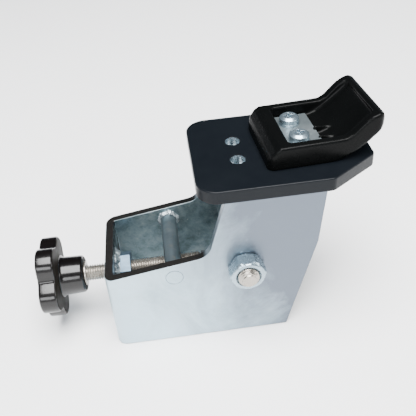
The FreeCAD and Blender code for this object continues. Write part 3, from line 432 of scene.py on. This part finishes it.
def nets(name, field, lo, hi, h, smooth=1):
    """A closed mesh round the region where field(x, y, z) is below zero; arrays in and out, in millimetres."""
    nx, ny, nz = [int(math.ceil((hi[i] - lo[i]) / h)) + 1 for i in range(3)]
    X, Y, Z = np.meshgrid(lo[0] + h * np.arange(nx), lo[1] + h * np.arange(ny), lo[2] + h * np.arange(nz), indexing="ij")
    f = field(X, Y, Z).astype(np.float64)
    f[[0, -1], :, :] = np.maximum(f[[0, -1], :, :], 0.01)
    f[:, [0, -1], :] = np.maximum(f[:, [0, -1], :], 0.01)
    f[:, :, [0, -1]] = np.maximum(f[:, :, [0, -1]], 0.01)
    s = f < 0
    cell = (nx - 1, ny - 1, nz - 1)
    acc = np.zeros(cell + (3,))
    cnt = np.zeros(cell)
    crosses = []
    for ax in range(3):
        n = f.shape[ax]
        f0, f1 = np.take(f, range(n - 1), ax), np.take(f, range(1, n), ax)
        s0, s1 = np.take(s, range(n - 1), ax), np.take(s, range(1, n), ax)
        cr = s0 != s1
        t = np.where(cr, f0 / np.where(cr, f0 - f1, 1.0), 0.0)
        crosses.append((cr, s0))
        oth = [k for k in range(3) if k != ax]
        for da in (0, 1):
            for db in (0, 1):
                sl = [slice(None)] * 3
                sl[oth[0]] = slice(da, da + cell[oth[0]])
                sl[oth[1]] = slice(db, db + cell[oth[1]])
                c = cr[tuple(sl)]
                acc[..., ax] += np.where(c, t[tuple(sl)], 0)
                acc[..., oth[0]] += np.where(c, da, 0)
                acc[..., oth[1]] += np.where(c, db, 0)
                cnt += c
    idx = -np.ones(cell, dtype=np.int64)
    act = cnt > 0
    idx[act] = np.arange(int(act.sum()))
    ii = np.argwhere(act)
    verts = (ii + acc[act] / cnt[act][:, None]) * h + np.array(lo)
    quads = []
    for ax in range(3):
        cr, s0 = crosses[ax]
        o1, o2 = (ax + 1) % 3, (ax + 2) % 3
        e = np.argwhere(cr)
        lim = np.array(cell)
        e = e[(e[:, o1] > 0) & (e[:, o2] > 0) & (e[:, o1] < lim[o1]) & (e[:, o2] < lim[o2])]
        d1 = np.zeros(3, dtype=int)
        d1[o1] = 1
        d2 = np.zeros(3, dtype=int)
        d2[o2] = 1
        q = np.stack([idx[tuple((e - d1 - d2).T)], idx[tuple((e - d2).T)], idx[tuple(e.T)], idx[tuple((e - d1).T)]], 1)
        flip = ~s0[tuple(e.T)]
        q[flip] = q[flip][:, ::-1]
        quads.append(q)
    quads = np.concatenate(quads)
    for _ in range(smooth):
        tot = np.zeros_like(verts)
        num = np.zeros(len(verts))
        for k in range(4):
            np.add.at(tot, quads[:, k], verts[quads[:, (k + 1) % 4]])
            np.add.at(num, quads[:, k], 1)
            np.add.at(tot, quads[:, (k + 1) % 4], verts[quads[:, k]])
            np.add.at(num, quads[:, (k + 1) % 4], 1)
        verts = 0.5 * verts + 0.5 * tot / num[:, None]
    return verts, quads


def mesh_from(name, verts, quads, place):
    me = bpy.data.meshes.new(name)
    me.from_pydata([tuple(place(v)) for v in verts], [], [tuple(int(i) for i in q) for q in quads])
    me.validate()
    return me


def poly_sdf(px, py, pts):
    """Signed distance to a polygon, negative inside."""
    d = np.full(px.shape, 1e9)
    sign = np.ones(px.shape)
    n = len(pts)
    for i in range(n):
        ax_, ay_ = pts[i]
        bx_, by_ = pts[i - 1]
        ex, ey = bx_ - ax_, by_ - ay_
        wx, wy = px - ax_, py - ay_
        k = np.clip((wx * ex + wy * ey) / (ex * ex + ey * ey), 0, 1)
        dx, dy = wx - ex * k, wy - ey * k
        d = np.minimum(d, dx * dx + dy * dy)
        c1, c2, c3 = py >= ay_, py < by_, ex * wy > ey * wx
        flip = (c1 & c2 & c3) | (~c1 & ~c2 & ~c3)
        sign = np.where(flip, -sign, sign)
    return sign * np.sqrt(d)


def smax(a, b, k):
    """The larger of two distances, rounded where they meet."""
    t = np.clip(0.5 - 0.5 * (a - b) / k, 0, 1)
    return a * (1 - t) + b * t + k * t * (1 - t)


def smin(a, b, k):
    return -smax(-a, -b, k)


def round_rect(x, y, cx, cy, hx, hy, r):
    qx, qy = np.abs(x - cx) - hx + r, np.abs(y - cy) - hy + r
    return np.hypot(np.maximum(qx, 0), np.maximum(qy, 0)) + np.minimum(np.maximum(qx, qy), 0) - r


# ------------------------------------------------------------------ bracket and fixed steel
refined("clamp_bracket", "frame", M["sheet"], 0.00045, segments=3)
second(refined("cross_rod", "frame", M["rod_shaded"], 0.0003), M["sheet"], lambda p: abs(p.center.y - BUSH.y) > 0.0255)
refined("pivot_washer", "frame", M["nut"], 0.0003)
refined("pivot_spacers", "frame", M["rod"], 0.0004)
refined("thrust_washers", "frame", M["bronze"], 0.00015)
refined("support_bar", "frame", M["rod"], 0.0005)
lumpy("bar_welds", "frame", M["weld"], 0.0006, 330.0)
refined("plate_screws", "frame", M["bolt"], 0.0004)
refined("plate_screw_washers", "frame", M["nut"], 0.0002)
# painted shade: the weld nut takes the darker copy of the nut zinc
refined("weld_nut", "frame", M["dull"], 0.0005)
refined("top_plate", "frame", M["plate"], 0.0003, segments=2)
refined("shoe_clamp_plate", "frame", M["rod"], 0.0003)
refined("shoe_screws", "frame", M["nut"], 0.00025)
refined("shoe_spring_washers", "frame", M["nut"], 0.0002)
lumpy("nut_weld", "frame", M["weld"], 0.0016, 230.0)
lumpy("rod_welds", "frame", M["weld"], 0.0016, 260.0)
refined("clamp_lever", "lever", M["lever"], 0.0006)
refined("lever_bush", "lever", M["bronze"], 0.0002)
refined("jaw_pad", "lever", M["rubber"], 0.0004)
refined("pressure_pad", "pad", M["lever"], 0.0004)
refined("spigot_clip", "screw", M["lever"], 0.0001)
refined("knob_insert", "screw", M["screw"], 0.0002)

# ------------------------------------------------------------------ moulded shoe
SLO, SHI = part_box("shoe")
SCRC = centre("shoe_screws")
SHOE_O = Vector((SCRC.x, SCRC.y, SLO[2]))
CT, ST = math.cos(SHOE_TURN), math.sin(SHOE_TURN)


def shoe_place(p):
    return SHOE_O + Vector((p[0] * CT - p[1] * ST, p[0] * ST + p[1] * CT, p[2])) * MM


OUTLINE = [(-21.0, 0.0), (16.0, 0.0), (21.5, 1.7), (27.5, 4.9), (33.5, 9.5), (39.5, 15.1), (41.3, 18.0), (41.9, 21.8), (40.5, 24.3), (38.0, 24.95),
           (34.4, 23.8), (31.0, 21.6), (27.5, 18.2), (24.4, 15.1), (21.0, 13.25), (17.0, 13.1), (-14.0, 13.1), (-16.6, 11.4), (-19.2, 8.0), (-20.7, 5.0)]
HOLLOW = [(-8.6, 5.5), (11.5, 5.5), (14.6, 5.9), (18.4, 7.4), (22.4, 9.9), (27.0, 13.4), (31.6, 17.3), (35.2, 20.6), (36.6, 22.4), (36.4, 40.0), (-8.6, 40.0)]


def shoe_field(u, v, w):
    body = smax(poly_sdf(u, w, OUTLINE), np.abs(v) - 24.9, 2.2)
    body = smax(body, round_rect(u, v, 10.45, 0.0, 31.4, 24.9, 5.2), 0.8)
    lean = np.clip((u - 14.0) / 26.0, 0, 1)
    half = 19.6 - 0.8 * lean
    hollow = smax(poly_sdf(u, w, HOLLOW), np.abs(v) - half, 2.4)
    hollow = smax(hollow, round_rect(u, v, 14.0, 0.0, 22.7, 19.6, 3.0), 0.8)
    f = smax(body, -hollow, 1.3)
    # ribs that run from the screw seat up the scoop
    for v0, u1, top in ((-1.0, 25.0, 9.6), (-9.8, 20.5, 8.6)):
        rib = smax(smax(np.abs(v - v0) - 0.9, w - top + 0.10 * (u - 12.0), 1.2), smax(10.6 - u, u - u1, 1.2), 1.2)
        rib = smax(rib, 4.0 - w, 0.3)
        f = smin(f, rib, 1.8)
    # shallow relief on the inner face of the far wall
    for u0 in (1.5, 7.5):
        rel = smax(np.abs(u - u0) - 0.45, np.abs(v - 19.7) - 0.5, 0.3)
        rel = smax(rel, w - 12.0, 0.3)
        f = smin(f, smax(rel, 5.0 - w, 0.3), 0.5)
    arc = np.abs(np.hypot(u - 19.0, w - 20.5) - 7.0) - 0.4
    f = smin(f, smax(smax(arc, np.abs(v - 19.2) - 0.7, 0.3), poly_sdf(u, w, OUTLINE) + 1.2, 0.3), 0.5)
    # screw holes
    for v0 in (-9.5, 9.5):
        f = smax(f, 3.4 - np.hypot(u, v - v0), 0.3)
    return f


sv, sq = nets("shoe", shoe_field, (-22.0, -26.0, -1.0), (43.0, 26.0, 26.0), 0.45, 1)
sv[:, 2] = np.clip(sv[:, 2], 0.0, None)
add("v_shoe", mesh_from("v_shoe", sv, sq, shoe_place), M["shoe"], "frame", ("shoe",), 60.0)

# ------------------------------------------------------------------ pivot bolt with its nut
BLO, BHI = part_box("pivot_bolt")
NLO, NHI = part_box("pivot_nut")
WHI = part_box("pivot_washer")[1]
PV = (BUSH.x, 0.0, BUSH.z)
HEX = (NHI[2] - NLO[2]) / 2


def hexr(a, flats, turn=0.0):
    """Distance from the middle to the side of a hexagon."""
    k = (a - turn) % (math.pi / 3)
    return flats / math.cos(k - math.pi / 6)


def hex_ring(c, y, limit, n=96, r=None):
    out = []
    for i in range(n):
        a = 2 * math.pi * i / n
        q = hexr(a, HEX)
        edge = min(q, HEX * 1.1547 - 0.00035)
        out.append(along_y(c, y, min(edge, limit) if r is None else r, a))
    return out


def bolt_end(s):
    return min(R12, R12 - 0.0011 + (s - BLO[1] - 0.0009) * 1.05)


R12 = 0.006
rings = [[along_y(PV, BLO[1] + 0.00012, 0.0004, 2 * math.pi * i / 48) for i in range(48)],
         [along_y(PV, BLO[1], 0.0028, 2 * math.pi * i / 48) for i in range(48)],
         [along_y(PV, BLO[1] + 0.00002, 0.0038, 2 * math.pi * i / 48) for i in range(48)],
         [along_y(PV, BLO[1] + 0.00015, 0.0040, 2 * math.pi * i / 48) for i in range(48)],
         [along_y(PV, BLO[1] + 0.00075, 0.0042, 2 * math.pi * i / 48) for i in range(48)],
         [along_y(PV, BLO[1] + 0.00080, 0.0046, 2 * math.pi * i / 48) for i in range(48)]]
rings += thread_rings(along_y, PV, BLO[1] + 0.0009, NLO[1] + 0.0006, R12, 0.00175, bolt_end, per=12)
rings += [[along_y(PV, y, 0.00595, 2 * math.pi * i / 48) for i in range(48)] for y in (NLO[1] + 0.0007, WHI[1] - 0.0002)]
add("v_pivot_bolt", from_rings("v_pivot_bolt", rings), M["bolt"], "frame", ("pivot_bolt",), 50.0)
hd = BHI[1]
y0 = WHI[1]
rings = [hex_ring(PV, y0, 1, r=0.0058), hex_ring(PV, y0, HEX * 0.93), hex_ring(PV, y0 + 0.0003, HEX * 0.97), hex_ring(PV, y0 + 0.0004, 1)]
rings += [hex_ring(PV, hd - 0.0024, 1), hex_ring(PV, hd - 0.0012, HEX * 1.075), hex_ring(PV, hd - 0.0004, HEX * 0.985), hex_ring(PV, hd, HEX * 0.93),
          hex_ring(PV, hd - 0.0002, 1, r=HEX * 0.80), hex_ring(PV, hd - 0.0002, 1, r=0.0004)]
add("pivot_bolt_head", from_rings("pivot_bolt_head", rings), M["nut"], "frame", (), 24.0)
rings = [hex_ring(PV, NHI[1], 1, r=0.0061), hex_ring(PV, NHI[1], HEX * 0.93), hex_ring(PV, NHI[1] - 0.0006, HEX * 1.01), hex_ring(PV, NHI[1] - 0.0012, HEX * 1.08), hex_ring(PV, NHI[1] - 0.0020, 1),
         hex_ring(PV, NLO[1] + 0.0026, 1), hex_ring(PV, NLO[1] + 0.0015, HEX * 1.09), hex_ring(PV, NLO[1] + 0.0007, HEX * 1.02), hex_ring(PV, NLO[1] + 0.00015, HEX * 0.965), hex_ring(PV, NLO[1], HEX * 0.93),
         hex_ring(PV, NLO[1], 1, r=0.0073), hex_ring(PV, NLO[1] + 0.0011, 1, r=0.0063), hex_ring(PV, NLO[1] + 0.0012, 1, r=0.0061), hex_ring(PV, NHI[1], 1, r=0.0061)]
add("v_pivot_nut", from_rings("v_pivot_nut", rings, False, False), M["nut"], "frame", ("pivot_nut",), 24.0)

# ------------------------------------------------------------------ bright cut thread in the plate's two holes
for tag, sgn in (("front", -1), ("back", 1)):
    hc = P(82.0, 30.0 + 9.75 * sgn, 0)
    z0, z1 = PLATE_LO[2], PLATE_HI[2]
    wall = []
    steps = 64
    for k in range(steps + 1):
        z = z0 + 0.0003 + (z1 - z0 - 0.0006) * k / steps
        ring = []
        for i in range(48):
            a = 2 * math.pi * i / 48
            f = (z / 0.0015 - a / (2 * math.pi)) % 1.0
            lip = max(0.0, (z - (z1 - 0.0009)) / 0.0006)
            r = 0.00414 + 0.00006 * abs(2 * f - 1)
            ring.append(along_z(hc, z, min(0.00423, r + lip * 0.0001), a))
        wall.append(ring)
    outer = [[along_z(hc, z, 0.004245, 2 * math.pi * i / 48) for i in range(48)] for z in (z1 - 0.0002, z0 + 0.0002)]
    me = from_rings("plate_thread_" + tag, wall + outer, False, False)
    add("plate_thread_" + tag, me, M["nut"], "frame", (), 60.0)

# ------------------------------------------------------------------ clamping screw with its real thread
SC = (0.0, SCREW.y, SCREW.z)
sx0, sx1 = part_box("clamp_screw")[0][0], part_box("clamp_screw")[1][0]
R10 = (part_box("clamp_screw")[1][2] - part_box("clamp_screw")[0][2]) / 2
clip0, clip1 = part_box("spigot_clip")[0][0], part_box("spigot_clip")[1][0]
shoulder = P(57.0, 0, 0).x
th0 = P(-14.6, 0, 0).x


def screw_end(s):
    return min(R10, R10 - 0.0012 + (shoulder - s) * 0.9, R10 - 0.0008 + (s - th0) * 1.0)


rings = []
for x, r in ((sx0, R10 * 0.93), (sx0 + 0.0005, R10 * 0.985), (th0 - 0.0002, R10 * 0.985)):
    rings.append([along_x(SC, x, r, 2 * math.pi * i / 48) for i in range(48)])
rings += thread_rings(along_x, SC, th0, shoulder, R10, 0.0015, screw_end)
for x, r in ((shoulder + 0.0001, 0.0035), (clip0, 0.0035), (clip0 + 0.00005, 0.0030), (clip1 - 0.00005, 0.0030),
             (clip1, 0.0035), (sx1 - 0.0006, 0.0035), (sx1, 0.0029)):
    rings.append([along_x(SC, x, r, 2 * math.pi * i / 48) for i in range(48)])
add("v_clamp_screw", from_rings("v_clamp_screw", rings), M["screw"], "screw", ("clamp_screw",), 50.0)

# ------------------------------------------------------------------ star knob
KLO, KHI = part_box("star_knob")
PETAL = [(0, 25.5), (4, 25.45), (8, 25.25), (12, 24.85), (16, 24.2), (20, 23.35), (24, 22.35), (28, 21.35), (32, 20.55), (34, 20.3), (36, 20.2)]


def petal(deg):
    """Radius of the knob, by the angle from the nearest petal's middle."""
    d = abs((deg + 36.0) % 72.0 - 36.0)
    for (a0, r0), (a1, r1) in zip(PETAL, PETAL[1:]):
        if d <= a1:
            return (r0 + (r1 - r0) * (d - a0) / (a1 - a0)) * MM
    return PETAL[-1][1] * MM


def knob_outline():
    """Five petals with narrow valleys, in the plane across the screw."""
    n = 480
    rad = [petal(360.0 * i / n - 19.0) for i in range(n)]
    for _ in range(3):
        rad = [(rad[i - 1] + 2 * rad[i] + rad[(i + 1) % n]) / 4 for i in range(n)]
    return [Vector((rad[i] * math.cos(2 * math.pi * i / n), rad[i] * math.sin(2 * math.pi * i / n))) for i in range(n)]


KO = knob_outline()
KN = []
for i in range(len(KO)):
    d = KO[(i + 1) % len(KO)] - KO[i - 1]
    KN.append(Vector((d.y, -d.x)).normalized())


def kring(x, inset, blend=0.0, r=0.0):
    """The lobed outline moved in by inset, blended towards a circle of radius r."""
    out = []
    for p, nrm in zip(KO, KN):
        q = (p - nrm * inset) * (1 - blend) + p.normalized() * r * blend
        out.append(Vector((x, SC[1] - q.y, SC[2] + q.x)))
    return out


xl = KLO[0]
xr = xl + 0.0106
xh = KHI[0]
rim = 0.0015
rings = [kring(xl + 0.0003, 0, 1, 0.0004), kring(xl + 0.0003, 0, 1, 0.0070), kring(xl + 0.0005, 0, 1, 0.0076), kring(xl + 0.0013, 0, 1, 0.0080),
         kring(xl + 0.0014, 0, 1, 0.0110), kring(xl + 0.0011, 0, 1, 0.0130), kring(xl + 0.0002, 0.0040, 0.35, 0.0150)]
for i in range(9):
    a = math.pi / 2 * i / 8
    rings.append(kring(xl + rim * (1 - math.cos(a)), rim * (1 - math.sin(a))))
for i in range(9):
    a = math.pi / 2 * (1 - i / 8)
    rings.append(kring(xr - rim * (1 - math.cos(a)), rim * (1 - math.sin(a))))
rings += [kring(xr + 0.00005, 0.0034, 0.25, 0.0160), kring(xr + 0.0002, 0, 1, 0.0143), kring(xr + 0.0006, 0, 1, 0.0130), kring(xr + 0.0014, 0, 1, 0.0122), kring(xr + 0.0030, 0, 1, 0.0119),
          kring(xh - 0.0022, 0, 1, 0.01155), kring(xh - 0.0010, 0, 1, 0.0113), kring(xh - 0.0003, 0, 1, 0.0105), kring(xh, 0, 1, 0.0096), kring(xh, 0, 1, 0.0077), kring(xh - 0.0012, 0, 1, 0.0075),
          kring(xh - 0.0130, 0, 1, 0.0075)]
second(add("v_star_knob", from_rings("v_star_knob", rings), M["knob"], "screw", ("star_knob",), 50.0), M["knobface"], lambda p: abs(p.normal.x) > 0.85)

# ------------------------------------------------------------------ floor, light, camera
floor = bpy.data.meshes.new("floor")
S = 4.0
floor.from_pydata([(-S, -S, -0.0004), (S, -S, -0.0004), (S, S, -0.0004), (-S, S, -0.0004)], [], [(0, 1, 2, 3)])
fo = bpy.data.objects.new("floor", floor)
bpy.context.scene.collection.objects.link(fo)
nf = Net("floor_pale")
fo.data.materials.append(nf.set(color=nf.ramp(nf.noise(3.0, 3.0), [(0.3, (0.93, 0.93, 0.932)), (0.7, (0.95, 0.95, 0.952))]), rough=0.9, spec=0.1))

world = bpy.data.worlds.new("studio")
bpy.context.scene.world = world
world.use_nodes = True
wt = world.node_tree
bg = wt.nodes["Background"]
wc = wt.nodes.new("ShaderNodeTexCoord")
sep = wt.nodes.new("ShaderNodeSeparateXYZ")
wt.links.new(wc.outputs["Generated"], sep.inputs[0])


def world_ramp(out, stops):
    r = wt.nodes.new("ShaderNodeValToRGB")
    wt.links.new(out, r.inputs["Fac"])
    e = r.color_ramp.elements
    while len(e) < len(stops):
        e.new(0.5)
    for i, (p, c) in enumerate(stops):
        e[i].position = p
        e[i].color = (c[0], c[1], c[2], 1.0)
    return r.outputs["Color"]


rise = world_ramp(sep.outputs["Z"], [(0.0, (1, 1, 1)), (0.10, (0.90, 0.94, 0.98)), (0.26, (0.20, 0.235, 0.27)), (0.45, (0.06, 0.072, 0.09)), (1.0, (0.10, 0.12, 0.15))])
behind = world_ramp(sep.outputs["Y"], [(0.0, (1, 1, 1)), (0.25, (0.9, 0.9, 0.9)), (0.70, (0.25, 0.26, 0.28)), (1.0, (0.22, 0.23, 0.25))])
wm = wt.nodes.new("ShaderNodeMix")
wm.data_type = "RGBA"
wm.blend_type = "MULTIPLY"
wm.inputs[0].default_value = 1.0
wt.links.new(rise, wm.inputs[6])
wt.links.new(behind, wm.inputs[7])
wt.links.new(wm.outputs[2], bg.inputs[0])
bg.inputs[1].default_value = 1.6


def area(name, loc, target, size, power, color=(1, 1, 1)):
    l = bpy.data.lights.new(name, "AREA")
    l.shape = "RECTANGLE"
    l.size, l.size_y = size
    l.energy = power
    l.color = color
    o = bpy.data.objects.new(name, l)
    bpy.context.scene.collection.objects.link(o)
    o.location = loc
    o.rotation_euler = (Vector(target) - Vector(loc)).to_track_quat("-Z", "Y").to_euler()
    return o


area("top", (0.0, -0.35, 1.6), (0, -0.05, 0.0), (1.2, 1.2), 118.0)
area("front", (-0.5, -1.5, 0.75), (0, 0, 0.05), (1.2, 0.5), 25.0, (0.97, 0.985, 1.0))
area("side", (1.3, -0.5, 0.7), (0, 0, 0.05), (0.5, 0.8), 10.0, (1.0, 0.97, 0.93))

cam = bpy.data.cameras.new("photo_camera")
cam.sensor_fit = "HORIZONTAL"
cam.sensor_width = 36.0
cam.lens = 594.417 / 416.0 * 36.0
cam.clip_start = 0.01
cam.clip_end = 50.0
co = bpy.data.objects.new("photo_camera", cam)
bpy.context.scene.collection.objects.link(co)
right = Vector((0.990979, -0.117163, -0.065062))
up = Vector((0.122806, 0.599509, 0.790874))
back = -Vector((0.05366, 0.79173, -0.60849))
m = Matrix((right, up, back)).transposed().to_4x4()
m.translation = P(45.589, -248.260, 288.922)
co.matrix_world = m
bpy.context.scene.camera = co
